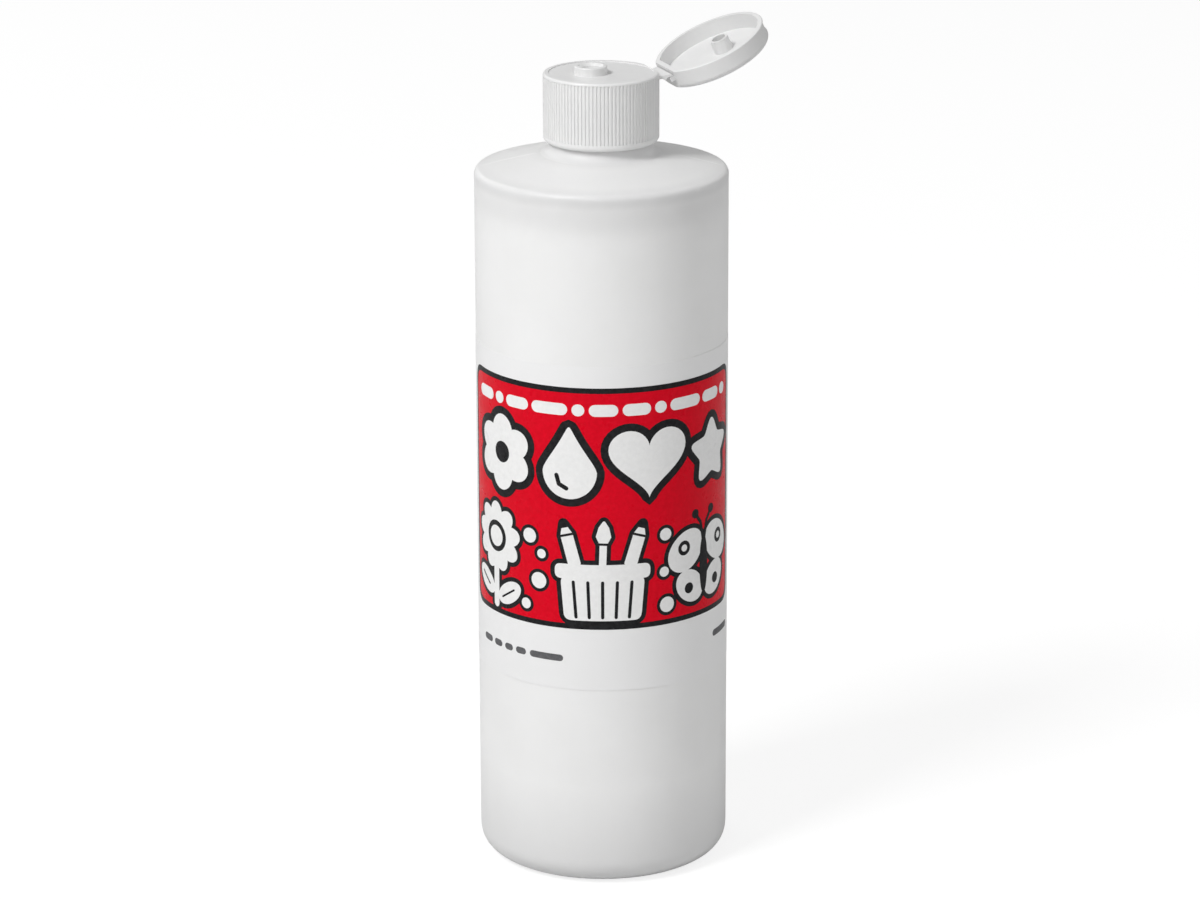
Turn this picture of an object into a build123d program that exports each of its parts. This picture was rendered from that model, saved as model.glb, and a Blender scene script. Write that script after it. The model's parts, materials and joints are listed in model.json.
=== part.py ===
from build123d import *
from math import atan2, cos, degrees, pi, radians, sin, sqrt
import os

# Squeeze bottle for white craft glue: bottle, film label, glue, liner, ribbed cap, hinge strap, flip lid.
# Frame: millimetres, +Z up, origin at the centre of the face that the bottle stands on.
# The front of the label faces -Y, and the lid stands open on the +X side.

os.makedirs("parts", exist_ok=True)

# ---------------------------------------------------------------- driving sizes: bottle
body_radius = 31.25
side_height = 175.9      # top of the straight side
heel_radius = 5.8        # round between the side and the standing ring
corner_radius = 1.5      # tight round where the shoulder starts
shoulder_slope = 15.8    # degrees from level, where the corner ends
dome_radius = 165.0      # the shoulder is very slightly crowned
wall = 0.95
standing_ring = 5.45     # width of the flat ring round the hollow under the base
push_up_height = 2.6
push_up_round = 1.0

neck_root_radius = 10.8
neck_wall = 1.45
collar_step = 1.9        # how far the collar at the neck's foot stands out
neck_fillet = 2.8        # hollow round between shoulder and collar
collar_height = 3.3      # from the shoulder's crown to the top of the collar
neck_length = 17.0       # from the shoulder's crown to the pouring rim
neck_lip_round = 0.4

# ---------------------------------------------------------------- driving sizes: thread
thread_pitch = 3.175
thread_depth = 1.05
thread_root_width = 1.5
thread_crest_width = 0.8
neck_thread_turns = 1.5
neck_thread_margin = 1.2  # from the thread's end to the pouring rim
cap_thread_turns = 1.25
thread_clearance = 0.25  # crest to root, on both sides
thread_bite = 0.15       # how far a thread's foot is sunk into its wall

# ---------------------------------------------------------------- driving sizes: label and glue
label_bottom = 51.9
label_height = 82.9
label_thickness = 0.08
label_gap = 0.02
headspace = 7.9          # from the glue's surface to the top of the straight side
glue_gap = 0.05

# ---------------------------------------------------------------- driving sizes: cap
cap_wall = 2.15
skirt_gap = 2.7          # from the shoulder's crown to the skirt's edge
deck_thickness = 1.4
deck_recess = 0.25       # the deck lies this far below the rim
rim_width = 1.3
rim_round = 0.6
skirt_edge_round = 1.1
rib_pitch = 0.93
rib_groove_radius = 0.26
rib_margin_bottom = 1.6  # plain band at the skirt's edge
rib_margin_top = 0.7     # plain band at the rim
mouth_clearance = 0.35   # thread-free mouth inside the skirt, round the neck's collar
mouth_headroom = 1.3
liner_thickness = 1.0
liner_clearance = 0.1
liner_hole_margin = 2.4  # past the far side of the orifice

spout_offset = 2.7       # from the cap's axis, away from the hinge
spout_wall = 1.45
spout_height = 2.05      # above the deck
spout_round = 0.35
spout_seat_radius = 2.6
spout_seat_depth = 1.7   # the lid's sealing ring sits in here
spout_funnel_width = 0.6
spout_funnel_depth = 0.7
orifice_radius = 1.5

# ---------------------------------------------------------------- driving sizes: hinge and lid
hinge_azimuth = 21.0     # degrees from +X towards +Y
open_angle = 155.0       # how far the lid stands open
hinge_flat_depth = 1.3   # both the cap and the lid are flat behind the strap
hinge_flat_width = 12.0
fold_depth = 0.8         # the fold lines lie this far inside the cap's radius
cap_fold_drop = 2.0      # lower fold line, below the cap's rim
lid_fold_rise = 1.1      # upper fold line, above the lid's edge
strap_thickness = 0.6
strap_width_cap = 8.0
strap_width_lid = 9.6
strap_rib_height = 0.4
strap_rib_margin = 1.05  # from each fold line to the rib
fold_clearance = 0.1
anchor_height = 1.2      # bar on the lid that the strap hangs from
anchor_reach = 1.1       # how far the bar stands out from the flat

lid_headroom = 2.3       # from the top of the spout to the lid's ceiling, when shut
lid_wall = 1.2
lid_top = 1.2
lid_round = 1.5
lid_edge_round = 0.3
lid_seat_gap = 0.1
ring_clearance = 0.15    # of the sealing ring's foot, in the spout's seat
ring_draft = 0.15        # the ring is this much slimmer at its tip
ring_wall = 0.7
ring_depth = 1.1         # how far the ring reaches into the spout
thumb_radius = 2.2       # scoop for a thumb, opposite the hinge
thumb_depth = 0.7
thumb_height = 2.0       # middle of the scoop, above the lid's edge
thumb_reach = 28.0       # degrees round the lid, to each side

# ---------------------------------------------------------------- allowances that are not sizes of the part
overshoot = 1.0          # how far a cut runs past the surface that it opens
level_slack = 0.1        # half height of the band in which an edge is looked for

# ---------------------------------------------------------------- radii and levels that follow from the sizes
push_up_radius = body_radius - heel_radius - standing_ring
neck_bore_radius = neck_root_radius - neck_wall
neck_collar_radius = neck_root_radius + collar_step
cap_bore_radius = neck_root_radius + thread_depth + thread_clearance
cap_radius = cap_bore_radius + cap_wall
mouth_radius = neck_collar_radius + mouth_clearance
rib_count = round(2 * pi * cap_radius / rib_pitch)
spout_radius = spout_seat_radius + spout_wall
liner_hole_radius = spout_offset + orifice_radius + liner_hole_margin
glue_level = side_height - headspace
slope = radians(shoulder_slope)
corner_top = (
    body_radius - corner_radius + corner_radius * sin(slope),
    side_height + corner_radius * cos(slope),
)
dome_centre = (
    corner_top[0] - dome_radius * sin(slope),
    corner_top[1] - dome_radius * cos(slope),
)


def shoulder_level(radius, inset=0.0):
    """Height of the shoulder at a radius, or of a surface that lies inset under it."""
    run = radius - dome_centre[0]
    return dome_centre[1] + sqrt((dome_radius - inset) ** 2 - run ** 2)


crown = shoulder_level(neck_collar_radius)
collar_top = crown + collar_height
neck_top = crown + neck_length
deck_underside = neck_top + liner_thickness
deck_top = deck_underside + deck_thickness
cap_top = deck_top + deck_recess
skirt_bottom = crown + skirt_gap
mouth_top = collar_top + mouth_headroom
neck_thread_start = neck_top - neck_thread_margin - neck_thread_turns * thread_pitch
cap_thread_start = neck_thread_start - thread_pitch / 2


# ---------------------------------------------------------------- hinge geometry, in the plane of symmetry
def swing(point, pivot, angle):
    """A point (outward, up) turned about a pivot, from up towards outward."""
    out, up = point[0] - pivot[0], point[1] - pivot[1]
    turn = radians(angle)
    return (
        pivot[0] + out * cos(turn) + up * sin(turn),
        pivot[1] - out * sin(turn) + up * cos(turn),
    )


outward = Vector(cos(radians(hinge_azimuth)), sin(radians(hinge_azimuth)), 0)
along_hinge = Vector(-outward.Y, outward.X, 0)
up = Vector(0, 0, 1)
fold_turn = open_angle / 2
flat_distance = cap_radius - hinge_flat_depth

cap_fold = (cap_radius - fold_depth, cap_top - cap_fold_drop)
lid_seat = cap_top + lid_seat_gap
lid_fold_closed = (cap_fold[0], lid_seat + lid_fold_rise)
strap_length = lid_fold_closed[1] - cap_fold[1]
lid_fold = swing(lid_fold_closed, cap_fold, fold_turn)
lid_centre = swing(swing((0, lid_seat), cap_fold, fold_turn), lid_fold, fold_turn)


def in_hinge_plane(point):
    """World place of an (outward, up) point."""
    return outward * point[0] + up * point[1]


turned_out = swing((1, 0), (0, 0), open_angle)
turned_up = swing((0, 1), (0, 0), open_angle)
strap_out = swing((1, 0), (0, 0), fold_turn)

# Sections through the hinge: local x points outward, local y points up.
cap_section = Plane(origin=(0, 0, 0), x_dir=outward, z_dir=along_hinge * -1)
strap_section = Plane(
    origin=in_hinge_plane(cap_fold),
    x_dir=in_hinge_plane(strap_out),
    z_dir=along_hinge * -1,
)
strap_face = Plane(origin=in_hinge_plane(cap_fold), x_dir=along_hinge, z_dir=in_hinge_plane(strap_out))
# The lid's own frame: origin in the middle of its open edge, z towards its closed end.
lid_plane = Plane(
    origin=in_hinge_plane(lid_centre),
    x_dir=in_hinge_plane(turned_out),
    z_dir=in_hinge_plane(turned_up),
)
lid_section = Plane(origin=lid_plane.origin, x_dir=lid_plane.x_dir, z_dir=along_hinge * -1)
lid_axis = Axis(lid_plane.origin, lid_plane.z_dir)
cap_deck_plane = Plane(origin=(0, 0, deck_top), x_dir=outward, z_dir=up)


# ---------------------------------------------------------------- shared outlines
def vessel_outline(inset, top_radius):
    """Half outline of the bottle below its neck, drawn inset from the outer surface."""
    side = body_radius - inset
    heel = heel_radius - inset
    corner = corner_radius - inset
    floor_ring = body_radius - heel_radius
    arc_middle = slope + (pi / 2 - slope) / 2
    corner_centre = (body_radius - corner_radius, side_height)
    top_point = (top_radius, shoulder_level(top_radius, inset))
    mid_radius = (corner_top[0] + top_radius) / 2
    corner_end = (
        corner_centre[0] + corner * sin(slope),
        corner_centre[1] + corner * cos(slope),
    )
    corner_mid = (
        corner_centre[0] + corner * sin(arc_middle),
        corner_centre[1] + corner * cos(arc_middle),
    )
    Polyline(
        (0, push_up_height + inset),
        (push_up_radius - push_up_height, push_up_height + inset),
        (push_up_radius, inset),
        (floor_ring, inset),
    )
    ThreePointArc(
        (floor_ring, inset),
        (floor_ring + heel * sin(pi / 4), heel_radius - heel * cos(pi / 4)),
        (side, heel_radius),
    )
    Line((side, heel_radius), (side, side_height))
    ThreePointArc((side, side_height), corner_mid, corner_end)
    ThreePointArc(corner_end, (mid_radius, shoulder_level(mid_radius, inset)), top_point)
    return top_point


def thread_ridge(wall_radius, depth, start, turns):
    """A helical ridge on a wall: depth is positive outward and negative inward."""
    foot = wall_radius - thread_bite * (1 if depth > 0 else -1)
    crest = wall_radius + depth
    with BuildPart() as ridge:
        with BuildLine():
            path = Helix(
                pitch=thread_pitch,
                height=thread_pitch * turns,
                radius=wall_radius,
                center=(0, 0, start),
            )
        with BuildSketch(Plane.XZ):
            with BuildLine():
                Polyline(
                    (foot, start - thread_root_width / 2),
                    (crest, start - thread_crest_width / 2),
                    (crest, start + thread_crest_width / 2),
                    (foot, start + thread_root_width / 2),
                    close=True,
                )
            make_face()
        sweep(path=path, is_frenet=True)
    return ridge.part


# ---------------------------------------------------------------- bottle
neck_thread = thread_ridge(neck_root_radius, thread_depth, neck_thread_start, neck_thread_turns)

with BuildPart() as bottle:
    with BuildSketch(Plane.XZ):
        with BuildLine():
            neck_foot = vessel_outline(0, neck_collar_radius)
            Polyline(
                neck_foot,
                (neck_collar_radius, collar_top),
                (neck_root_radius, collar_top),
                (neck_root_radius, neck_top),
                (0, neck_top),
                (0, push_up_height),
            )
        make_face()
    revolve(axis=Axis.Z)
    outer_circles = edges().filter_by(GeomType.CIRCLE)
    neck_circles = outer_circles.filter_by_position(Axis.Z, crown - level_slack, crown + level_slack)
    fillet(neck_circles, neck_fillet)
    base_circles = outer_circles.filter_by_position(Axis.Z, -level_slack, push_up_height + level_slack)
    push_up_circles = base_circles.sort_by(SortBy.RADIUS)[:2]
    fillet(push_up_circles, push_up_round)
    with BuildSketch(Plane.XZ):
        with BuildLine():
            bore_foot = vessel_outline(wall, neck_bore_radius)
            Polyline(
                bore_foot,
                (neck_bore_radius, neck_top + overshoot),
                (0, neck_top + overshoot),
                (0, push_up_height + wall),
            )
        make_face()
    revolve(axis=Axis.Z, mode=Mode.SUBTRACT)
    fillet(edges().filter_by(GeomType.CIRCLE).group_by(Axis.Z)[-1], neck_lip_round)
    add(neck_thread)
bottle.part.label = "bottle"
export_step(bottle.part, "parts/bottle.step")

# ---------------------------------------------------------------- film label
label_inner = body_radius + label_gap
with BuildPart() as wrap_label:
    with BuildSketch(Plane.XY.offset(label_bottom)):
        Circle(label_inner + label_thickness)
        Circle(label_inner, mode=Mode.SUBTRACT)
    extrude(amount=label_height)
wrap_label.part.label = "wrap_label"
export_step(wrap_label.part, "parts/wrap_label.step")

# ---------------------------------------------------------------- glue, up to its level
with BuildPart() as glue:
    with BuildSketch(Plane.XZ):
        with BuildLine():
            glue_top = vessel_outline(wall + glue_gap, neck_bore_radius)
            Polyline(glue_top, (0, glue_top[1]), (0, push_up_height + wall + glue_gap))
        make_face()
    revolve(axis=Axis.Z)
    split(bisect_by=Plane.XY.offset(glue_level), keep=Keep.BOTTOM)
glue.part.label = "glue"
export_step(glue.part, "parts/glue.step")

# ---------------------------------------------------------------- liner, pressed into the cap's ceiling
with BuildPart() as cap_liner:
    with BuildSketch(Plane.XY.offset(neck_top)):
        Circle(cap_bore_radius - liner_clearance)
        Circle(liner_hole_radius, mode=Mode.SUBTRACT)
    extrude(amount=liner_thickness)
cap_liner.part.label = "cap_liner"
export_step(cap_liner.part, "parts/cap_liner.step")

# ---------------------------------------------------------------- cap: skirt, deck, spout and inner thread
cap_thread = thread_ridge(cap_bore_radius, -thread_depth, cap_thread_start, cap_thread_turns)
rib_bottom = skirt_bottom + rib_margin_bottom
rib_top = cap_top - rib_margin_top

with BuildPart() as cap_base:
    with BuildSketch(Plane.XY.offset(skirt_bottom)):
        Circle(cap_radius)
    extrude(amount=cap_top - skirt_bottom)
    fillet(edges().group_by(Axis.Z)[0], skirt_edge_round)
    fillet(edges().group_by(Axis.Z)[-1], rim_round)
    with BuildSketch(Plane.XY.offset(rib_bottom)):
        with PolarLocations(cap_radius, rib_count):
            Circle(rib_groove_radius)
    extrude(amount=rib_top - rib_bottom, mode=Mode.SUBTRACT)
    with BuildSketch(Plane.XY.offset(deck_top)):
        Circle(cap_radius - rim_width)
    extrude(amount=deck_recess, mode=Mode.SUBTRACT)
    with BuildSketch(Plane.XY.offset(skirt_bottom)):
        Circle(cap_bore_radius)
    extrude(amount=deck_underside - skirt_bottom, mode=Mode.SUBTRACT)
    with BuildSketch(Plane.XY.offset(skirt_bottom)):
        Circle(mouth_radius)
    extrude(amount=mouth_top - skirt_bottom, mode=Mode.SUBTRACT)
    # flat and shelf behind the strap
    with BuildSketch(cap_section):
        with Locations((flat_distance, cap_fold[1] - strap_thickness / 2 - fold_clearance)):
            Rectangle(2 * hinge_flat_depth, 2 * cap_fold_drop, align=(Align.MIN, Align.MIN))
    extrude(amount=hinge_flat_width / 2, both=True, mode=Mode.SUBTRACT)
    # spout
    with BuildSketch(cap_deck_plane):
        with Locations((-spout_offset, 0)):
            Circle(spout_radius)
    extrude(amount=spout_height)
    fillet(edges().group_by(Axis.Z)[-1], spout_round)
    with Locations(cap_deck_plane.offset(spout_height)):
        with Locations((-spout_offset, 0)):
            Hole(orifice_radius, depth=spout_height + deck_thickness + overshoot)
            Hole(spout_seat_radius, depth=spout_seat_depth)
    with BuildSketch(cap_deck_plane.offset(spout_height)):
        with Locations((-spout_offset, 0)):
            Circle(spout_seat_radius + spout_funnel_width)
    with BuildSketch(cap_deck_plane.offset(spout_height - spout_funnel_depth)):
        with Locations((-spout_offset, 0)):
            Circle(spout_seat_radius)
    loft(mode=Mode.SUBTRACT)
    add(cap_thread)
cap_base.part.label = "cap_base"
export_step(cap_base.part, "parts/cap_base.step")

# ---------------------------------------------------------------- strap between the two fold lines
strap_half = strap_thickness / 2
strap_rib_foot = strap_rib_margin
strap_rib_head = strap_length - strap_rib_margin

with BuildPart() as hinge_strap:
    with BuildSketch(strap_section):
        with Locations((0, strap_length / 2)):
            SlotCenterToCenter(strap_length, strap_thickness, rotation=90)
        with BuildLine():
            ThreePointArc(
                (strap_half, strap_rib_foot),
                (strap_half + strap_rib_height, strap_length / 2),
                (strap_half, strap_rib_head),
            )
            Polyline(
                (strap_half, strap_rib_head),
                (0, strap_rib_head),
                (0, strap_rib_foot),
                (strap_half, strap_rib_foot),
            )
        make_face()
    extrude(amount=strap_width_lid / 2, both=True)
    # the strap is narrower at the cap than at the lid
    with BuildSketch(strap_face):
        with BuildLine():
            Polyline(
                (-strap_width_cap / 2, -strap_half),
                (strap_width_cap / 2, -strap_half),
                (strap_width_lid / 2, strap_length + strap_half),
                (-strap_width_lid / 2, strap_length + strap_half),
                close=True,
            )
        make_face()
    extrude(amount=strap_thickness + strap_rib_height, both=True, mode=Mode.INTERSECT)
hinge_strap.part.label = "hinge_strap"
export_step(hinge_strap.part, "parts/hinge_strap.step")

# ---------------------------------------------------------------- flip lid, standing open
ceiling = spout_height - deck_recess - lid_seat_gap + lid_headroom
lid_height = ceiling + lid_top
ring_radius = spout_seat_radius - ring_clearance
ring_length = lid_headroom + ring_depth
ring_taper = degrees(atan2(ring_draft, ring_length))

with BuildPart() as flip_lid:
    with BuildSketch(lid_plane):
        Circle(cap_radius)
    extrude(amount=lid_height)
    fillet(edges().filter_by(GeomType.CIRCLE).sort_by(lid_axis)[-1], lid_round)
    # hollow inside, with a flat wall behind the strap
    with BuildSketch(lid_plane):
        Circle(cap_radius - lid_wall)
        with Locations((flat_distance - lid_wall, 0)):
            Rectangle(cap_radius, 2 * cap_radius, align=(Align.MIN, Align.CENTER), mode=Mode.SUBTRACT)
    extrude(amount=ceiling, mode=Mode.SUBTRACT)
    fillet(faces().filter_by(GeomType.PLANE).sort_by(lid_axis)[0].outer_wire().edges(), lid_edge_round)
    # flat behind the strap, and the bar that the strap hangs from
    with BuildSketch(lid_plane):
        with Locations((flat_distance, 0)):
            Rectangle(2 * hinge_flat_depth, hinge_flat_width, align=(Align.MIN, Align.CENTER))
    extrude(amount=lid_height, mode=Mode.SUBTRACT)
    with BuildSketch(lid_plane.offset(lid_fold_rise + strap_half + fold_clearance)):
        with Locations((flat_distance - lid_wall / 2, 0)):
            Rectangle(anchor_reach + lid_wall / 2, strap_width_lid, align=(Align.MIN, Align.CENTER))
    extrude(amount=anchor_height)
    # ring that seals the spout
    with BuildSketch(lid_plane.offset(ceiling)):
        with Locations((-spout_offset, 0)):
            Circle(ring_radius)
    extrude(amount=-ring_length, taper=ring_taper)
    with BuildSketch(lid_plane.offset(ceiling - ring_length)):
        with Locations((-spout_offset, 0)):
            Circle(ring_radius - ring_wall)
    extrude(amount=ring_length, mode=Mode.SUBTRACT)
    # thumb scoop, along the far wall to both sides
    for scoop_axis in (lid_axis, lid_axis.reverse()):
        with BuildSketch(lid_section):
            with Locations((thumb_depth - cap_radius - thumb_radius, thumb_height)):
                Circle(thumb_radius)
        revolve(axis=scoop_axis, revolution_arc=thumb_reach, mode=Mode.SUBTRACT)
flip_lid.part.label = "flip_lid"
export_step(flip_lid.part, "parts/flip_lid.step")
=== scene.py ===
"""Looks of the craft-glue squeeze bottle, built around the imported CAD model. Metres, CAD frame."""

import json
from math import atan2, cos, pi, radians, sin

import bmesh
import bpy
import numpy as np
from mathutils import Matrix, Vector
from mathutils.bvhtree import BVHTree
from mathutils.geometry import delaunay_2d_cdt


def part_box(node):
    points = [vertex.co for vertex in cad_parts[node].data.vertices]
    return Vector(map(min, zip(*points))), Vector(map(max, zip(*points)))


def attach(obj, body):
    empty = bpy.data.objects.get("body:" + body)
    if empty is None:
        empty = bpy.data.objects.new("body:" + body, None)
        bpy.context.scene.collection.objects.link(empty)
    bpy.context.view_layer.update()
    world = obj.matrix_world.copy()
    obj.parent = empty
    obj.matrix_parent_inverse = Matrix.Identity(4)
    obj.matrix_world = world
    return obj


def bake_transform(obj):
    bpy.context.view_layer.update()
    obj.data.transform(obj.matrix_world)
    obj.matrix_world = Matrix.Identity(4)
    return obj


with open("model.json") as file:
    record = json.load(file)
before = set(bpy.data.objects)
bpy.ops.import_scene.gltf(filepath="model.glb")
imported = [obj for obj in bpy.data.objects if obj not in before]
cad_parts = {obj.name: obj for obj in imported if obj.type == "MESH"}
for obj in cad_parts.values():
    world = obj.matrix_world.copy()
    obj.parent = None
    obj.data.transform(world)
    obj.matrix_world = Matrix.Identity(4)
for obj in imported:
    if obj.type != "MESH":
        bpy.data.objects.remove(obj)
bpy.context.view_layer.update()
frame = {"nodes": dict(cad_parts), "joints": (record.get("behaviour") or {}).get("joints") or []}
MM = 0.001
scene = bpy.context.scene
nodes = frame["nodes"]

# ------------------------------------------------------------------ places taken from the frame
film_low, film_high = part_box("wrap_label")
FILM_RADIUS = film_high.x / MM
FILM_BOTTOM, FILM_TOP = film_low.z / MM, film_high.z / MM
GLUE_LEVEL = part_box("glue")[1].z / MM
NECK_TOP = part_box("bottle")[1].z / MM
joints = {j["name"]: j for j in frame["joints"]}


# ------------------------------------------------------------------ material helpers
class Shader:
    """One procedural material: a Principled shader and the nodes that feed it."""

    def __init__(self, name, color=(0.8, 0.8, 0.8), roughness=0.4, **sockets):
        self.material = bpy.data.materials.new(name)
        self.material.use_nodes = True
        self.material.diffuse_color = (*color, 1)
        self.tree = self.material.node_tree
        self.nodes = self.tree.nodes
        self.surface = self.nodes["Principled BSDF"]
        self.surface.inputs["Base Color"].default_value = (*color, 1)
        self.surface.inputs["Roughness"].default_value = roughness
        for socket, value in sockets.items():
            self.surface.inputs[socket.replace("_", " ")].default_value = value
        self.place = self.nodes.new("ShaderNodeTexCoord").outputs["Object"]

    def link(self, output, target):
        self.tree.links.new(output, target)
        return target

    def scaled(self, scale):
        """Object coordinates, stretched by a scale for each axis."""
        mapping = self.nodes.new("ShaderNodeMapping")
        mapping.inputs["Scale"].default_value = scale
        self.link(self.place, mapping.inputs["Vector"])
        return mapping.outputs["Vector"]

    def noise(self, scale, detail=3.0, rough=0.5, stretch=(1, 1, 1)):
        node = self.nodes.new("ShaderNodeTexNoise")
        node.inputs["Scale"].default_value = scale
        node.inputs["Detail"].default_value = detail
        node.inputs["Roughness"].default_value = rough
        self.link(self.scaled(stretch), node.inputs["Vector"])
        return node.outputs["Fac"]

    def speckle(self, scale, threshold):
        """Small round specks: 1 inside a speck and 0 outside."""
        node = self.nodes.new("ShaderNodeTexVoronoi")
        node.inputs["Scale"].default_value = scale
        self.link(self.place, node.inputs["Vector"])
        return self.remap(node.outputs["Distance"], threshold, threshold * 0.6, 0, 1)

    def height(self):
        """Height above the floor, in millimetres."""
        split = self.nodes.new("ShaderNodeSeparateXYZ")
        self.link(self.scaled((1000, 1000, 1000)), split.inputs["Vector"])
        return split.outputs["Z"]

    def remap(self, value, low, high, to_low, to_high, smooth=False):
        node = self.nodes.new("ShaderNodeMapRange")
        node.interpolation_type = "SMOOTHSTEP" if smooth else "LINEAR"
        sockets = ("From Min", "From Max", "To Min", "To Max")
        for socket, number in zip(sockets, (low, high, to_low, to_high)):
            node.inputs[socket].default_value = number
        self.link(value, node.inputs["Value"])
        return node.outputs["Result"]

    def math(self, operation, a, b):
        node = self.nodes.new("ShaderNodeMath")
        node.operation = operation
        for socket, value in zip(node.inputs, (a, b)):
            if isinstance(value, (int, float)):
                socket.default_value = value
            else:
                self.link(value, socket)
        return node.outputs[0]

    def mix(self, factor, a, b):
        """Colour between a and b; each is a colour or a node's output."""
        node = self.nodes.new("ShaderNodeMix")
        node.data_type = "RGBA"
        self.link(factor, node.inputs["Factor"])
        for socket, value in zip((node.inputs[6], node.inputs[7]), (a, b)):
            if isinstance(value, tuple):
                socket.default_value = (*value, 1)
            else:
                self.link(value, socket)
        return node.outputs[2]

    def color(self, output):
        self.link(output, self.surface.inputs["Base Color"])

    def rough(self, output):
        self.link(output, self.surface.inputs["Roughness"])

    def bump(self, *layers):
        """Layers of (height output, depth in metres), the broadest first."""
        normal = None
        for output, depth in layers:
            node = self.nodes.new("ShaderNodeBump")
            node.inputs["Strength"].default_value = 1.0
            node.inputs["Distance"].default_value = depth
            self.link(output, node.inputs["Height"])
            if normal is not None:
                self.link(normal, node.inputs["Normal"])
            normal = node.outputs["Normal"]
        self.link(normal, self.surface.inputs["Normal"])


def grey(level):
    return (level, level, level)


# ------------------------------------------------------------------ materials
FOOT_SHADE_HEIGHT, FOOT_SHADE_TONE = 26.0, 0.68             # painted shade: the bottle darkens from this height down to the base
CORNER, CORNER_SHADE_TONE = GLUE_LEVEL + 8.4, 0.83    # painted shade: a darker band at the shoulder's corner dims the rim's highlight
NECK_FOOT, NECK_SHADE_TONE = NECK_TOP - 17.0, 0.78    # painted shade: the neck is darker under the cap


def bottle_plastic(name="bottle_polyethylene", scatter=0.45):
    """Milky blow-moulded polyethylene: light scatters in the wall above the glue. Painted shade
    darkens it towards the base, in a band on the shoulder's corner that dims the rim's highlight,
    and on the neck under the cap.
    """
    m = Shader(name, grey(0.8), 0.42, Specular_IOR_Level=0.35)
    filled = m.remap(m.height(), GLUE_LEVEL - 4.0, GLUE_LEVEL + 3.0, 1, 0, smooth=True)
    cloud = m.noise(38, 4, 0.55)
    glue_tone = m.mix(m.remap(cloud, 0.3, 0.7, 0, 1), (0.835, 0.835, 0.83), (0.868, 0.868, 0.865))
    # painted shade: darker towards the base
    foot = m.remap(m.height(), 0.0, FOOT_SHADE_HEIGHT, 0, 1)
    filled_tone_with_foot_shade = m.mix(foot, grey(FOOT_SHADE_TONE), glue_tone)
    wall_tone = m.mix(m.remap(cloud, 0.3, 0.7, 0, 1), (0.93, 0.93, 0.925), (0.95, 0.95, 0.947))
    # painted shade: a darker band on the shoulder's corner, to dim the highlight on the rim
    rising = m.remap(m.height(), CORNER - 3.2, CORNER - 0.8, 0, 1, smooth=True)
    falling = m.remap(m.height(), CORNER + 0.3, CORNER + 2.0, 1, 0, smooth=True)
    wall_tone_with_corner_shade = m.mix(m.math("MULTIPLY", rising, falling), wall_tone, grey(CORNER_SHADE_TONE))
    # painted shade on the neck under the cap
    neck = m.remap(m.height(), NECK_FOOT - 1.2, NECK_FOOT + 0.6, 0, 1, smooth=True)
    empty_tone_with_painted_shade = m.mix(neck, wall_tone_with_corner_shade, grey(NECK_SHADE_TONE))
    m.color(m.mix(filled, empty_tone_with_painted_shade, filled_tone_with_foot_shade))
    m.rough(m.remap(m.noise(150, 3), 0.3, 0.7, 0.37, 0.49))
    m.surface.subsurface_method = "RANDOM_WALK"
    m.surface.inputs["Subsurface Scale"].default_value = 0.006
    m.surface.inputs["Subsurface Radius"].default_value = (1, 1, 1)
    m.link(m.remap(filled, 0, 1, scatter, 0.0), m.surface.inputs["Subsurface Weight"])
    m.bump(
        (m.noise(420, 2, 0.5, (1, 1, 0.04)), 0.000035),
        (m.noise(1500, 2), 0.000012),
    )
    return m.material


def cap_plastic(name, tone=0.775):
    """Injection-moulded polypropylene: a little glossier than the bottle, with a fine grain."""
    m = Shader(name, grey(tone), 0.34, Specular_IOR_Level=0.45)
    cloud = m.noise(110, 4, 0.6)
    warm = (tone + 0.018, tone + 0.018, tone + 0.015)
    m.color(m.mix(m.remap(cloud, 0.3, 0.7, 0, 1), grey(tone - 0.018), warm))
    m.rough(m.remap(m.noise(320, 3), 0.3, 0.7, 0.29, 0.42))
    m.bump(
        (m.noise(260, 2), 0.00002),
        (m.noise(3800, 2), 0.000004),
    )
    return m.material


def film(name, tone=0.85):
    """Thin glossy film that follows the bottle."""
    m = Shader(name, grey(tone), 0.3, Specular_IOR_Level=0.3)
    cloud = m.remap(m.noise(24, 1.0), 0.2, 0.8, 0, 1)
    m.color(m.mix(cloud, grey(tone - 0.008), grey(tone + 0.008)))
    m.rough(m.remap(m.noise(40, 1.0), 0.2, 0.8, 0.29, 0.34))
    return m.material


def ink(name, color, light, roughness=0.3):
    """Printed ink: fine press mottle, and pinholes where the film shows through."""
    m = Shader(name, color, roughness, Specular_IOR_Level=0.08)
    mottle = m.remap(m.noise(900, 4, 0.6), 0.35, 0.65, 0, 1)
    tone = m.mix(mottle, color, light)
    m.color(m.mix(m.math("MULTIPLY", m.speckle(1400, 0.09), 0.06), tone, grey(0.6)))
    m.rough(m.remap(m.noise(260, 3), 0.3, 0.7, roughness - 0.06, roughness + 0.08))
    m.bump((m.noise(2600, 2), 0.000003))
    return m.material


def wet_glue():
    """White glue: smooth, a little creamy, with tiny air bubbles."""
    m = Shader("white_glue", (0.86, 0.86, 0.83), 0.18, Specular_IOR_Level=0.5)
    m.color(m.mix(m.remap(m.noise(45, 3), 0.3, 0.7, 0, 1), (0.84, 0.84, 0.81), (0.88, 0.88, 0.86)))
    m.rough(m.remap(m.noise(120, 2), 0.3, 0.7, 0.12, 0.24))
    m.bump((m.speckle(700, 0.12), 0.00005), (m.noise(70, 2), 0.0001))
    return m.material


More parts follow.
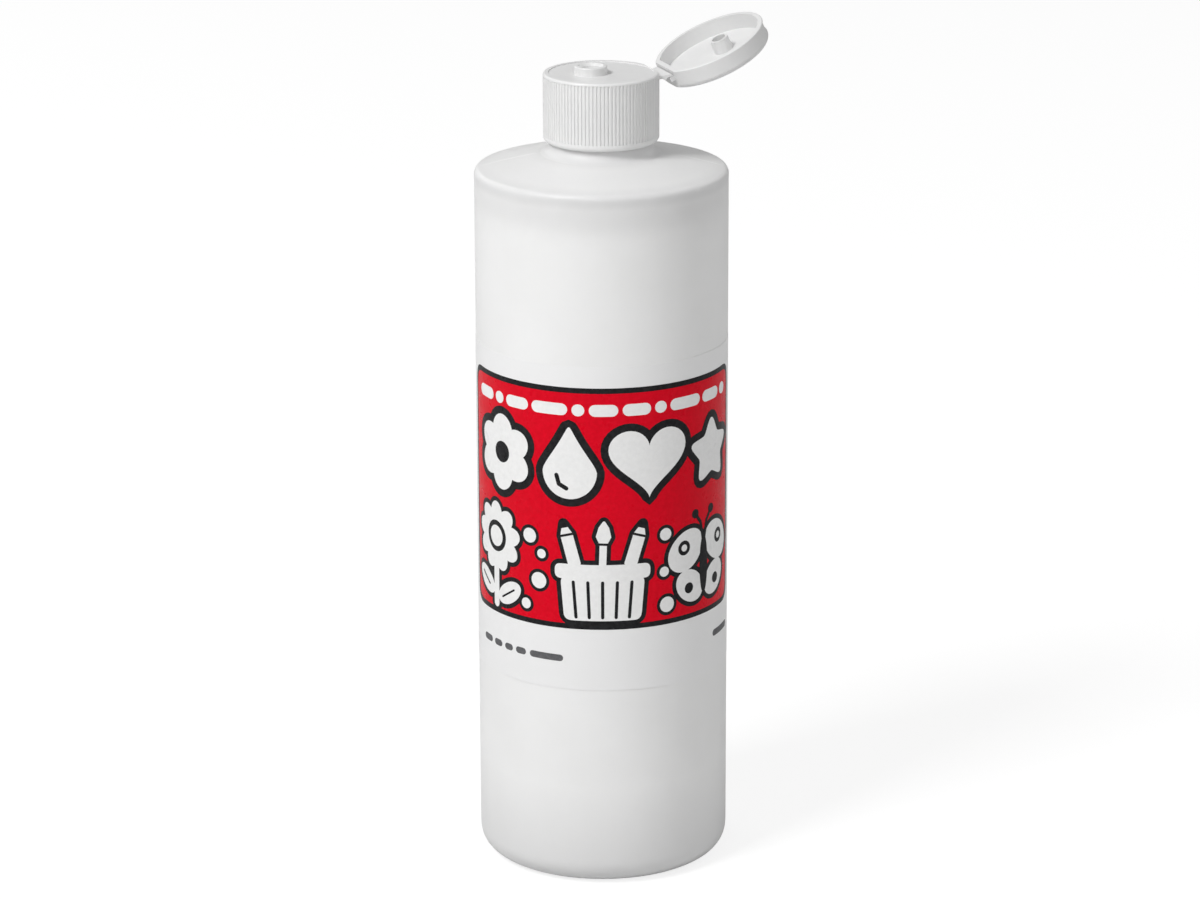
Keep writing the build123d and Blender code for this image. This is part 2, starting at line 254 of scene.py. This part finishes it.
def foam():
    """Pressed polyethylene foam of the liner: closed cells and a dull skin."""
    m = Shader("liner_foam", grey(0.7), 0.75, Specular_IOR_Level=0.3)
    cells = m.nodes.new("ShaderNodeTexVoronoi")
    cells.inputs["Scale"].default_value = 3200
    m.link(m.place, cells.inputs["Vector"])
    m.color(m.mix(m.remap(cells.outputs["Distance"], 0.1, 0.6, 0, 1), grey(0.62), grey(0.76)))
    m.rough(m.remap(m.noise(500, 2), 0.3, 0.7, 0.66, 0.84))
    m.bump((cells.outputs["Distance"], 0.00006))
    return m.material


BOTTLE = bottle_plastic()
MOULD_LINE = bottle_plastic("mould_line_polyethylene", 0.0)   # too thin a bead to scatter light in
CAP = cap_plastic("cap_polypropylene")
LID = cap_plastic("lid_polypropylene", 0.765)
FILM = film("label_film")
RED = ink("ink_red", (0.66, 0.0, 0.012), (0.73, 0.001, 0.016))
BLACK = ink("ink_black", (0.010, 0.010, 0.011), (0.022, 0.022, 0.024))
WHITE = ink("ink_white", (0.83, 0.83, 0.825), (0.87, 0.87, 0.865))

NODE_MATERIALS = {
    "bottle": BOTTLE, "wrap_label": FILM, "glue": wet_glue(), "cap_liner": foam(),
    "cap_base": CAP, "hinge_strap": CAP, "flip_lid": LID,
}
for node, material in NODE_MATERIALS.items():
    slots = nodes[node].data.materials
    if len(slots) == 0:
        slots.append(material)
    for index in range(len(slots)):
        slots[index] = material


# ------------------------------------------------------------------ mesh helpers
SMOOTH_ANGLE = radians(35)
WELD = 1e-7


def new_piece(name, vertices, faces, material, body=None):
    """A mesh object with one material. It rides on a body when one is given."""
    mesh = bpy.data.meshes.new(name)
    mesh.from_pydata([tuple(v) for v in vertices], [], faces)
    tidy = bmesh.new()
    tidy.from_mesh(mesh)
    bmesh.ops.remove_doubles(tidy, verts=tidy.verts, dist=WELD)
    bmesh.ops.recalc_face_normals(tidy, faces=tidy.faces)
    tidy.to_mesh(mesh)
    tidy.free()
    mesh.polygons.foreach_set("use_smooth", [True] * len(mesh.polygons))
    mesh.set_sharp_from_angle(angle=SMOOTH_ANGLE)
    mesh.materials.append(material)
    piece = bpy.data.objects.new(name, mesh)
    scene.collection.objects.link(piece)
    if body:
        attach(piece, body)
    return piece


def on_film(s, z, lift):
    """A place on the label, in mm: s runs round the film from the front towards +X, and z is up."""
    angle = s / FILM_RADIUS
    radius = FILM_RADIUS + lift
    return Vector((radius * sin(angle), -radius * cos(angle), z)) * MM


GRID = 1.3            # spacing of the points that let a flat print follow the film
PRINT_SINK = 0.006    # how far the back of the print lies in the film
CDT_EPSILON = 1e-5


def divided(outline):
    """A closed outline with more points, so that each short run can follow the film."""
    out = []
    for (x0, y0), (x1, y1) in zip(outline, outline[1:] + outline[:1]):
        parts = max(1, round(abs(x1 - x0) / (0.7 * GRID)), round(abs(y1 - y0) / (2.5 * GRID)))
        out.extend((x0 + (x1 - x0) * i / parts, y0 + (y1 - y0) * i / parts) for i in range(parts))
    return out


def turns_round(places, outline):
    """How many times a closed outline goes round each place."""
    turns = np.zeros(len(places), int)
    x, y = places[:, 0], places[:, 1]
    for (x0, y0), (x1, y1) in zip(outline, outline[1:] + outline[:1]):
        side = (x1 - x0) * (y - y0) - (x - x0) * (y1 - y0)
        turns += (y0 <= y) & (y1 > y) & (side > 0)
        turns -= (y0 > y) & (y1 <= y) & (side < 0)
    return turns


def print_layer(name, shapes, lift, material):
    """Prints closed outlines of (s, z) points, in mm, as one thin closed layer on the film."""
    shapes = [divided(outline) for outline in shapes]
    points, edges = [], []
    for outline in shapes:
        start, total = len(points), len(outline)
        points.extend(Vector(p) for p in outline)
        edges.extend((start + i, start + (i + 1) % total) for i in range(total))
    s_low, s_high = min(p.x for p in points), max(p.x for p in points)
    z_low, z_high = min(p.y for p in points), max(p.y for p in points)
    for i in range(int((s_high - s_low) / GRID) + 1):
        for k in range(int((z_high - z_low) / GRID) + 1):
            points.append(Vector((s_low + (i + 0.5) * GRID, z_low + (k + 0.5) * GRID)))
    flat, _, triangles, _, _, _ = delaunay_2d_cdt(points, edges, [], 0, CDT_EPSILON)
    middles = np.array([sum((flat[i] for i in t), Vector((0, 0))) / 3 for t in triangles])
    inside = np.zeros(len(triangles), bool)
    for outline in shapes:
        inside |= turns_round(middles, outline) != 0
    kept = [t for t, covered in zip(triangles, inside) if covered]
    used = sorted({i for t in kept for i in t})
    index = {old: new for new, old in enumerate(used)}
    top = [on_film(flat[i].x, flat[i].y, lift) for i in used]
    bottom = [on_film(flat[i].x, flat[i].y, -PRINT_SINK) for i in used]
    count = len(used)
    faces, sides = [], set()
    for t in kept:
        a, b, c = (index[i] for i in t)
        faces.append((a, b, c))
        faces.append((c + count, b + count, a + count))
        sides |= {(a, b), (b, c), (c, a)}
    for a, b in sorted(sides):
        if (b, a) not in sides:
            faces.append((b, a, a + count, b + count))
    new_piece(name, top + bottom, faces, material, "bottle")


# ------------------------------------------------------------------ shapes for the print, in mm
def disc(s, z, rs, rz=None, turn=0.0, count=40):
    rz = rs if rz is None else rz
    ct, st = cos(radians(turn)), sin(radians(turn))
    out = []
    for i in range(count):
        a = 2 * pi * i / count
        x, y = rs * cos(a), rz * sin(a)
        out.append((s + x * ct - y * st, z + x * st + y * ct))
    return out


def stroke(points, width, count=8):
    """A line of even width with round ends, as one capsule for each run."""
    out = []
    for (s0, z0), (s1, z1) in zip(points, points[1:]):
        heading = atan2(z1 - z0, s1 - s0)
        ring = []
        for centre, start in (((s1, z1), heading - pi / 2), ((s0, z0), heading + pi / 2)):
            for i in range(count + 1):
                a = start + pi * i / count
                ring.append((centre[0] + width / 2 * cos(a), centre[1] + width / 2 * sin(a)))
        out.append(ring)
    return out


def rounded(points, radius, count=6):
    """A closed polygon with its corners rounded."""
    out = []
    total = len(points)
    for i in range(total):
        p = Vector(points[i])
        before, after = Vector(points[i - 1]) - p, Vector(points[(i + 1) % total]) - p
        half = before.angle(after) / 2
        tangent = max(sin(half) / cos(half), 1e-6)
        reach = min(radius / tangent, 0.49 * before.length, 0.49 * after.length)
        start, end = p + before.normalized() * reach, p + after.normalized() * reach
        for k in range(count + 1):
            t = k / count
            q = start * (1 - t) ** 2 + p * 2 * t * (1 - t) + end * t ** 2
            out.append((q.x, q.y))
    return out


def box_shape(s0, z0, s1, z1, radius):
    """A rectangle between two corners, with its own corners rounded."""
    return rounded([(s0, z0), (s1, z0), (s1, z1), (s0, z1)], radius)


def grown(outline, amount):
    """A closed outline moved outward along its normals."""
    total = len(outline)
    area = sum(a[0] * b[1] - b[0] * a[1] for a, b in zip(outline, outline[1:] + outline[:1]))
    if area < 0:
        outline = outline[::-1]
    out = []
    for i in range(total):
        before, after = Vector(outline[i - 1]), Vector(outline[(i + 1) % total])
        run = after - before
        if run.length < 1e-9:
            continue
        normal = Vector((run.y, -run.x)).normalized()
        out.append(tuple(Vector(outline[i]) + normal * amount))
    return out


def petals(s, z, reach, radius_s, radius_z, count, first=90.0):
    """Round petals about a centre."""
    out = []
    for i in range(count):
        a = first + 360 * i / count
        middle = (s + reach * cos(radians(a)), z + reach * sin(radians(a)))
        out.append(disc(*middle, radius_s, radius_z, a))
    return out


def star(s, z, outer, inner, points=5, turn=90.0):
    """A star with soft points."""
    out = []
    for i in range(2 * points):
        r = outer if i % 2 == 0 else inner
        a = radians(turn + 180 * i / points)
        out.append((s + r * cos(a), z + r * sin(a)))
    return rounded(out, 1.6)


def heart(s, z, width, height):
    """A heart: the usual closed curve, scaled to a width and a height."""
    out = []
    for i in range(64):
        a = 2 * pi * i / 64
        x = 16 * sin(a) ** 3
        y = 13 * cos(a) - 5 * cos(2 * a) - 2 * cos(3 * a) - cos(4 * a)
        out.append((s - x / 32 * width, z + (y + 2.5) / 29 * height))
    return out


def drop(s, z, radius, tip):
    """A glue drop: a round belly with a tip above."""
    out = []
    for i in range(48):
        a = 2 * pi * i / 48
        x, y = radius * sin(a), -radius * cos(a)
        pull = max(0.0, y / radius)
        out.append((s + x * (1 - 0.72 * pull ** 1.5), z + y + (tip - radius) * pull ** 2.2))
    return out


# ------------------------------------------------------------------ label print
PANEL_HALF = radians(79.5) * FILM_RADIUS
PANEL_LOW, PANEL_HIGH = FILM_BOTTOM + 15.9, FILM_BOTTOM + 77.6
PANEL_LINE = 1.35
LIFTS = [0.018 * layer for layer in range(1, 7)]    # one for each layer of ink
BORDER_ROUND, FIELD_ROUND = 4.6, 3.4

print_layer(
    "label_panel_border",
    [box_shape(-PANEL_HALF, PANEL_LOW, PANEL_HALF, PANEL_HIGH, BORDER_ROUND)],
    LIFTS[0], BLACK,
)
FIELD_HALF = PANEL_HALF - PANEL_LINE
FIELD_LOW, FIELD_HIGH = PANEL_LOW + PANEL_LINE, PANEL_HIGH - PANEL_LINE
print_layer(
    "label_panel_field",
    [box_shape(-FIELD_HALF, FIELD_LOW, FIELD_HALF, FIELD_HIGH, FIELD_ROUND)],
    LIFTS[1], RED,
)

white, outline, detail = [], [], []


def motif(shapes, line=1.15):
    """White shapes with a black line round them."""
    for shape in shapes:
        white.append(shape)
        outline.append(grown(shape, line))


# row of dashes and dots under the top line
DASH_LEVEL, DASH_WIDTH, DASH_GAP = PANEL_HIGH - 5.6, 3.0, 1.05
DOT, DASH, LONG_DASH = 0.2, 4.2, 6.6
ROW_START = -37.4
place = ROW_START
for run in (DASH, DOT, DASH, LONG_DASH, DOT, DASH, DASH, DOT, LONG_DASH, DASH, DOT):
    white.extend(stroke([(place, DASH_LEVEL), (place + run, DASH_LEVEL)], DASH_WIDTH))
    place += run + DASH_WIDTH + DASH_GAP

# four bold shapes
BOLD = PANEL_HIGH - 19.4
BOLD_LINE = 1.95
FLOWER = -28.2
motif(petals(FLOWER, BOLD, 5.4, 4.3, 3.8, 6) + [disc(FLOWER, BOLD, 5.0)], BOLD_LINE)
motif([drop(-8.2, BOLD - 2.0, 6.9, 11.4)], BOLD_LINE)
motif([heart(11.8, BOLD - 0.2, 20.6, 17.4)], BOLD_LINE)
motif([star(32.2, BOLD - 0.6, 9.6, 5.2)], BOLD_LINE)
detail.append(disc(FLOWER, BOLD, 2.7))
detail.extend(stroke([(-11.4, BOLD - 3.0), (-10.8, BOLD - 5.2), (-8.9, BOLD - 6.2)], 1.1))

# daisy with a stem and leaves
LOW = FIELD_LOW
STEM, HEAD = -31.0, LOW + 18.6
VEIN = 0.5
motif(stroke([(STEM, LOW + 1.2), (STEM, HEAD)], 2.2))
motif([disc(STEM - 5.0, LOW + 6.2, 4.6, 2.6, -32), disc(STEM + 5.0, LOW + 4.9, 4.6, 2.6, 32)])
motif(petals(STEM, HEAD, 5.6, 3.4, 2.5, 9))
detail.append(disc(STEM, HEAD, 4.0))
eyes = [disc(STEM, HEAD, 2.7)]
detail.extend(stroke([(STEM - 7.2, LOW + 7.6), (STEM - 3.4, LOW + 5.2)], VEIN))
detail.extend(stroke([(STEM + 2.6, LOW + 3.4), (STEM + 6.8, LOW + 6.0)], VEIN))

# jar of tools
LINE = 1.2
jar = [(-9.6, LOW + 0.9), (9.6, LOW + 0.9), (10.6, LOW + 12.4), (-10.6, LOW + 12.4)]
motif([rounded(jar, 2.0)], LINE)
motif([box_shape(-12.0, LOW + 11.6, 12.0, LOW + 15.4, 1.6)], LINE)
pencil = [(-1.6, 0), (1.6, 0), (1.6, 8.2), (0, 12.0), (-1.6, 8.2)]
brush_side = [(0.9, 0), (0.9, 5.6), (1.9, 7.6), (1.3, 10.0)]
brush = [(-0.9, 0)] + brush_side + [(0, 12.0)] + [(-x, y) for x, y in brush_side[:0:-1]]


def placed(points, s, z, turn):
    """Points turned by an angle in degrees and moved to a place."""
    ct, st = cos(radians(turn)), sin(radians(turn))
    return [(s + x * ct - y * st, z + x * st + y * ct) for x, y in points]


TOOL_FOOT = LOW + 15.0
PENCILS = ((-6.8, 15), (6.8, -17))    # place and lean
for points, s, turn in ((pencil, *PENCILS[0]), (brush, 0.0, -2), (pencil, *PENCILS[1])):
    motif([rounded(placed(points, s, TOOL_FOOT, turn), 0.5)], 1.05)
for s in (-6.6, -3.3, 0.0, 3.3, 6.6):
    detail.extend(stroke([(s, LOW + 1.8), (s * 1.1, LOW + 10.8)], 0.8))
for s, turn in PENCILS:
    detail.extend(stroke(placed([(-1.6, 8.1), (1.6, 8.1)], s, TOOL_FOOT, turn), 0.6))
    detail.append(placed([(-1.0, 10.0), (1.0, 10.0), (0, 12.6)], s, TOOL_FOOT, turn))
detail.extend(stroke(placed([(-1.0, 5.7), (1.0, 5.7)], 0.0, TOOL_FOOT, -2), 0.6))

# loose dots between the motifs
dots = ((-19.0, 21.4, 1.9), (-16.4, 10.2, 2.1), (-20.2, 3.6, 1.4), (-15.6, 17.2, 1.2),
        (16.2, 22.0, 1.6), (16.6, 3.8, 2.0), (15.8, 12.4, 1.3))
for s, z, r in dots:
    motif([disc(s, LOW + z, r, count=24)], 0.85)

# butterfly
BODY, WING = 28.8, LOW + 12.2
for side in (-1, 1):
    tilt = 38 if side < 0 else 142
    motif([disc(BODY + side * 6.2, WING + 4.4, 6.2, 4.8, tilt)], LINE)
    motif([disc(BODY + side * 4.9, WING - 5.0, 5.0, 3.9, -tilt)], LINE)
    detail.append(disc(BODY + side * 7.0, WING + 5.2, 1.9, count=28))
    detail.append(disc(BODY + side * 5.4, WING - 5.5, 1.4, count=28))
    eyes.append(disc(BODY + side * 7.0, WING + 5.2, 0.9, count=24))
    feeler = [(BODY + side * s, WING + z) for s, z in ((0.3, 6.0), (1.2, 10.6), (3.2, 13.2))]
    detail.extend(stroke(feeler, 0.9))
    detail.append(disc(*feeler[-1], 1.2, count=24))
detail.append(disc(BODY, WING - 0.4, 1.6, 7.6))

print_layer("label_outlines", outline, LIFTS[2], BLACK)
print_layer("label_shapes", white, LIFTS[3], WHITE)
print_layer("label_details", detail, LIFTS[4], BLACK)
print_layer("label_eyes", eyes, LIFTS[5], WHITE)

# small print on the white margin: plain bars that stand for words, as start, length and rise
FINE_LEVEL, FINE_WIDTH = FILM_BOTTOM + 8.0, 1.7
BARS = (
    (-37.0, 2.7, 0), (-31.4, 1.6, 0), (-26.9, 1.2, 0), (-22.9, 1.6, 0), (-18.4, 7.6, 0),
    (34.2, 8.0, 1.3),
)
fine = []
for start, run, rise in BARS:
    fine.extend(stroke([(start, FINE_LEVEL + rise), (start + run, FINE_LEVEL + rise)], FINE_WIDTH))
GREY_INK = ink("ink_grey", (0.10, 0.10, 0.105), (0.14, 0.14, 0.145), 0.36)
print_layer("label_small_print", fine, LIFTS[0], GREY_INK)

# ------------------------------------------------------------------ overlap of the film's ends
BACK, OVERLAP_HALF, OVERLAP_INSET, OVERLAP_LIFT = pi * FILM_RADIUS, 2.6, 0.1, 0.06
OVERLAP_LOW, OVERLAP_HIGH = FILM_BOTTOM + OVERLAP_INSET, FILM_TOP - OVERLAP_INSET
overlap = box_shape(BACK - OVERLAP_HALF, OVERLAP_LOW, BACK + OVERLAP_HALF, OVERLAP_HIGH, 0.3)
print_layer("label_overlap", [overlap], OVERLAP_LIFT, FILM)


# ------------------------------------------------------------------ mould marks
RIDGE_SINK = 0.03


def ridge(name, path, across, width, height):
    """A low bead along (point, normal) pairs, sunk a little into the bottle's surface."""
    foot, crest = width / 2, width / 5
    section = ((-foot, -RIDGE_SINK), (-crest, height), (crest, height), (foot, -RIDGE_SINK))
    vertices, faces = [], []
    for point, normal in path:
        vertices.extend(point + across * (u * MM) + normal * (v * MM) for u, v in section)
    total = len(section)
    for i in range(len(path) - 1):
        for k in range(total):
            a, b = i * total + k, i * total + (k + 1) % total
            faces.append((a, b, b + total, a + total))
    faces.append(tuple(range(total)))
    faces.append(tuple(range((len(path) - 1) * total, len(path) * total)))
    new_piece(name, vertices, faces, MOULD_LINE, "bottle")


bottle_mesh = nodes["bottle"].data
bottle_points = [v.co for v in bottle_mesh.vertices]
bottle_skin = BVHTree.FromPolygons(bottle_points, [p.vertices for p in bottle_mesh.polygons])
REACH = 0.2    # the rays start this far off, in metres


def skin_path(starts, direction):
    """Where rays meet the bottle, with the surface's normals turned to face them."""
    path = []
    for start in starts:
        point, normal, _, _ = bottle_skin.ray_cast(start, direction)
        path.append((point, normal if normal.dot(direction) < 0 else -normal))
    return path


def levels(low, high, count):
    """Evenly spaced lengths, given in mm and returned in metres."""
    return [(low + (high - low) * i / (count - 1)) * MM for i in range(count)]


UP, SIDEWAYS = Vector((0, 0, 1)), Vector((0, 1, 0))
FILM_MARGIN = 0.4
SEAM_WIDTH, SEAM_HEIGHT = 0.42, 0.05
# heights along the parting lines, in mm, and radii on the shoulder
HEEL_LOW, HEEL_HIGH, WALL_LOW = 0.9, 6.5, 12
WALL_HIGH, ROUND_LOW, ROUND_HIGH = 174.5, 175.3, 177.0
CROWN_OUTER, CROWN_INNER = 29.4, 16.2
LOW_LEVELS = levels(HEEL_LOW, HEEL_HIGH, 14) + levels(WALL_LOW, FILM_BOTTOM - FILM_MARGIN, 6)
HIGH_LEVELS = levels(FILM_TOP + FILM_MARGIN, WALL_HIGH, 8) + levels(ROUND_LOW, ROUND_HIGH, 8)
CROWN_RADII = levels(CROWN_OUTER, CROWN_INNER, 10)
for side, label in ((1, "right"), (-1, "left")):
    inward = Vector((-side, 0, 0))
    lower = skin_path([Vector((side * REACH, 0, z)) for z in LOW_LEVELS], inward)
    upper = skin_path([Vector((side * REACH, 0, z)) for z in HIGH_LEVELS], inward)
    crown = skin_path([Vector((side * x, 0, REACH + 0.1)) for x in CROWN_RADII], -UP)
    ridge(f"parting_line_low_{label}", lower, SIDEWAYS, SEAM_WIDTH, SEAM_HEIGHT)
    ridge(f"parting_line_high_{label}", upper + crown, SIDEWAYS, SEAM_WIDTH, SEAM_HEIGHT)
PINCH_HALF, PINCH_WIDTH, PINCH_HEIGHT = 17.0, 1.1, 0.22
pinch = skin_path([Vector((x, 0, -REACH)) for x in levels(-PINCH_HALF, PINCH_HALF, 24)], UP)
ridge("base_pinch_line", pinch, SIDEWAYS, PINCH_WIDTH, PINCH_HEIGHT)


# ------------------------------------------------------------------ webs that bend at the folds
hinge_line = Vector(joints["strap_fold"]["axis"]).normalized()
cap_fold, lid_fold = (Vector(joints[name]["pos_m"]) for name in ("strap_fold", "lid_fold"))
along_strap = (lid_fold - cap_fold).normalized()
lean = along_strap.angle(UP)
into_lid = (along_strap * 2 * cos(lean) - UP).normalized()   # turned on by the same angle again
# half the thickness, the reach from the fold and half the length of the bend, in mm
WEB_HALF, WEB_TAIL, WEB_BEND = 0.11, 0.62, 0.26
CAP_WEB, LID_WEB = 7.6, 9.0    # widths of the two webs


def web(name, fold, arrive, leave, width):
    """A thin strip that comes to a fold in one direction, bends and leaves in another."""
    line = [fold - arrive * WEB_TAIL * MM]
    bend_start, bend_end = fold - arrive * WEB_BEND * MM, fold + leave * WEB_BEND * MM
    for k in range(7):
        t = k / 6
        line.append(bend_start * (1 - t) ** 2 + fold * 2 * t * (1 - t) + bend_end * t ** 2)
    line.append(fold + leave * WEB_TAIL * MM)
    vertices, faces = [], []
    for i, point in enumerate(line):
        run = (line[min(i + 1, len(line) - 1)] - line[max(i - 1, 0)]).normalized()
        normal = run.cross(hinge_line)
        for across, thick in ((-1, -1), (1, -1), (1, 1), (-1, 1)):
            sideways = hinge_line * (across * width / 2 * MM)
            vertices.append(point + sideways + normal * (thick * WEB_HALF * MM))
    for i in range(len(line) - 1):
        for k in range(4):
            a, b = 4 * i + k, 4 * i + (k + 1) % 4
            faces.append((a, b, b + 4, a + 4))
    faces.append((0, 1, 2, 3))
    faces.append(tuple(range(4 * len(line) - 4, 4 * len(line))))
    piece = new_piece(name, vertices, faces, CAP)
    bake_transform(piece)


web("hinge_web_cap", cap_fold, UP, along_strap, CAP_WEB)
web("hinge_web_lid", lid_fold, along_strap, into_lid, LID_WEB)

# gate mark in the middle of the lid's outer face
lid_mesh = nodes["flip_lid"].data
outer = max(p.center.dot(into_lid) for p in lid_mesh.polygons)
FACE_SLACK = 0.02
lid_points = [v.co for v in lid_mesh.vertices if v.co.dot(into_lid) > outer - FACE_SLACK * MM]
low = [min(p[i] for p in lid_points) for i in range(3)]
high = [max(p[i] for p in lid_points) for i in range(3)]
gate_middle = Vector([(a + b) / 2 for a, b in zip(low, high)])
gate_side = hinge_line.cross(into_lid).normalized()
# radius and rise of each ring: a raised round, a dish inside it and the stub of the gate
GATE_RINGS = (
    (1.5, -0.02), (1.35, 0.05), (1.1, 0.06), (0.95, 0.01), (0.6, 0.01), (0.5, 0.14), (0.25, 0.2),
)
STEPS = 28
vertices, faces = [], []
for radius, rise in GATE_RINGS:
    for i in range(STEPS):
        a = 2 * pi * i / STEPS
        outward = hinge_line * cos(a) + gate_side * sin(a)
        vertices.append(gate_middle + outward * radius * MM + into_lid * rise * MM)
for ring in range(len(GATE_RINGS) - 1):
    for i in range(STEPS):
        a, b = ring * STEPS + i, ring * STEPS + (i + 1) % STEPS
        faces.append((a, b, b + STEPS, a + STEPS))
faces.append(tuple(range(STEPS)))
faces.append(tuple(range((len(GATE_RINGS) - 1) * STEPS, len(GATE_RINGS) * STEPS)))
new_piece("lid_gate_mark", vertices, faces, LID, "lid")

# ------------------------------------------------------------------ camera
CAMERA_PLACE = Vector((0.0, -1.0939, 0.4363))
PITCH, YAW, ROLL = 0.2945, -0.0005, -0.0032
SENSOR = 36.0
FOCAL_SHARE = 3.80967    # focal length over the width of the frame

camera = bpy.data.objects.new("camera", bpy.data.cameras.new("camera"))
scene.collection.objects.link(camera)
forward = Vector((sin(YAW) * cos(PITCH), cos(YAW) * cos(PITCH), -sin(PITCH)))
right = Vector((cos(YAW), -sin(YAW), 0))
above = right.cross(forward)
right, above = right * cos(ROLL) + above * sin(ROLL), above * cos(ROLL) - right * sin(ROLL)
turn = Matrix((right, above, -forward)).transposed().to_4x4()
camera.matrix_world = Matrix.Translation(CAMERA_PLACE) @ turn
camera.data.sensor_width = SENSOR
camera.data.lens = SENSOR * FOCAL_SHARE
camera.data.clip_start, camera.data.clip_end = 0.05, 50
scene.camera = camera

# ------------------------------------------------------------------ floor and light
FLOOR_HALF = 6.0
FLOOR_LEVEL = -0.00005   # just under the base, so that the two faces do not lie in one plane
# the camera sees the floor with the first two, and the object is lit by the third
FLOOR_SEEN, FLOOR_GLOW, FLOOR_BOUNCE = 0.28, 0.79, 0.74
floor_shader = Shader("floor_paper", grey(FLOOR_BOUNCE), 0.9, Specular_IOR_Level=0.0)
floor_shader.surface.inputs["Emission Color"].default_value = (1, 1, 1, 1)
camera_ray = floor_shader.nodes.new("ShaderNodeLightPath").outputs["Is Camera Ray"]
floor_shader.color(floor_shader.mix(camera_ray, grey(FLOOR_BOUNCE), grey(FLOOR_SEEN)))
glow = floor_shader.remap(camera_ray, 0, 1, 0, FLOOR_GLOW)
floor_shader.link(glow, floor_shader.surface.inputs["Emission Strength"])
floor_mesh = bpy.data.meshes.new("floor")
FLOOR_CORNERS = ((-1, -1), (1, -1), (1, 1), (-1, 1))
floor_mesh.from_pydata(
    [(x * FLOOR_HALF, y * FLOOR_HALF, FLOOR_LEVEL) for x, y in FLOOR_CORNERS],
    [], [(0, 1, 2, 3)],
)
floor_mesh.materials.append(floor_shader.material)
floor = bpy.data.objects.new("floor", floor_mesh)
scene.collection.objects.link(floor)

WORLD_LEVEL = 0.36
world = bpy.data.worlds.new("studio")
world.use_nodes = True
background = world.node_tree.nodes["Background"]
background.inputs["Color"].default_value = (1, 1, 1, 1)
background.inputs["Strength"].default_value = WORLD_LEVEL
scene.world = world

AIM = Vector((0, 0, 0.12))


def soft_light(name, azimuth, elevation, distance, size, strength):
    """A square soft light. Azimuth runs from the front towards +X, in degrees."""
    data = bpy.data.lights.new(name, "AREA")
    data.shape = "SQUARE"
    data.size = size
    lamp = bpy.data.objects.new(name, data)
    scene.collection.objects.link(lamp)
    a, e = radians(azimuth), radians(elevation)
    back = Vector((sin(a) * cos(e), -cos(a) * cos(e), sin(e)))
    lamp.location = AIM + back * distance
    lamp.rotation_mode = "QUATERNION"
    lamp.rotation_quaternion = back.to_track_quat("Z", "Y")
    # the light's power, so that a white surface facing it has a radiance of strength
    data.energy = strength * (pi * distance) ** 2


# name, azimuth, elevation, distance, size and strength
LIGHTS = (
    ("key", -47, 47, 1.7, 0.5, 0.68),
    ("edge_left", -140, 25, 1.7, 0.7, 0.1),
    ("edge_right", 130, 25, 1.7, 0.7, 0.08),
    ("fill", 32, 30, 1.9, 0.7, 0.1),
)
for light in LIGHTS:
    soft_light(*light)

scene.view_settings.view_transform = "Standard"
scene.view_settings.look = "None"
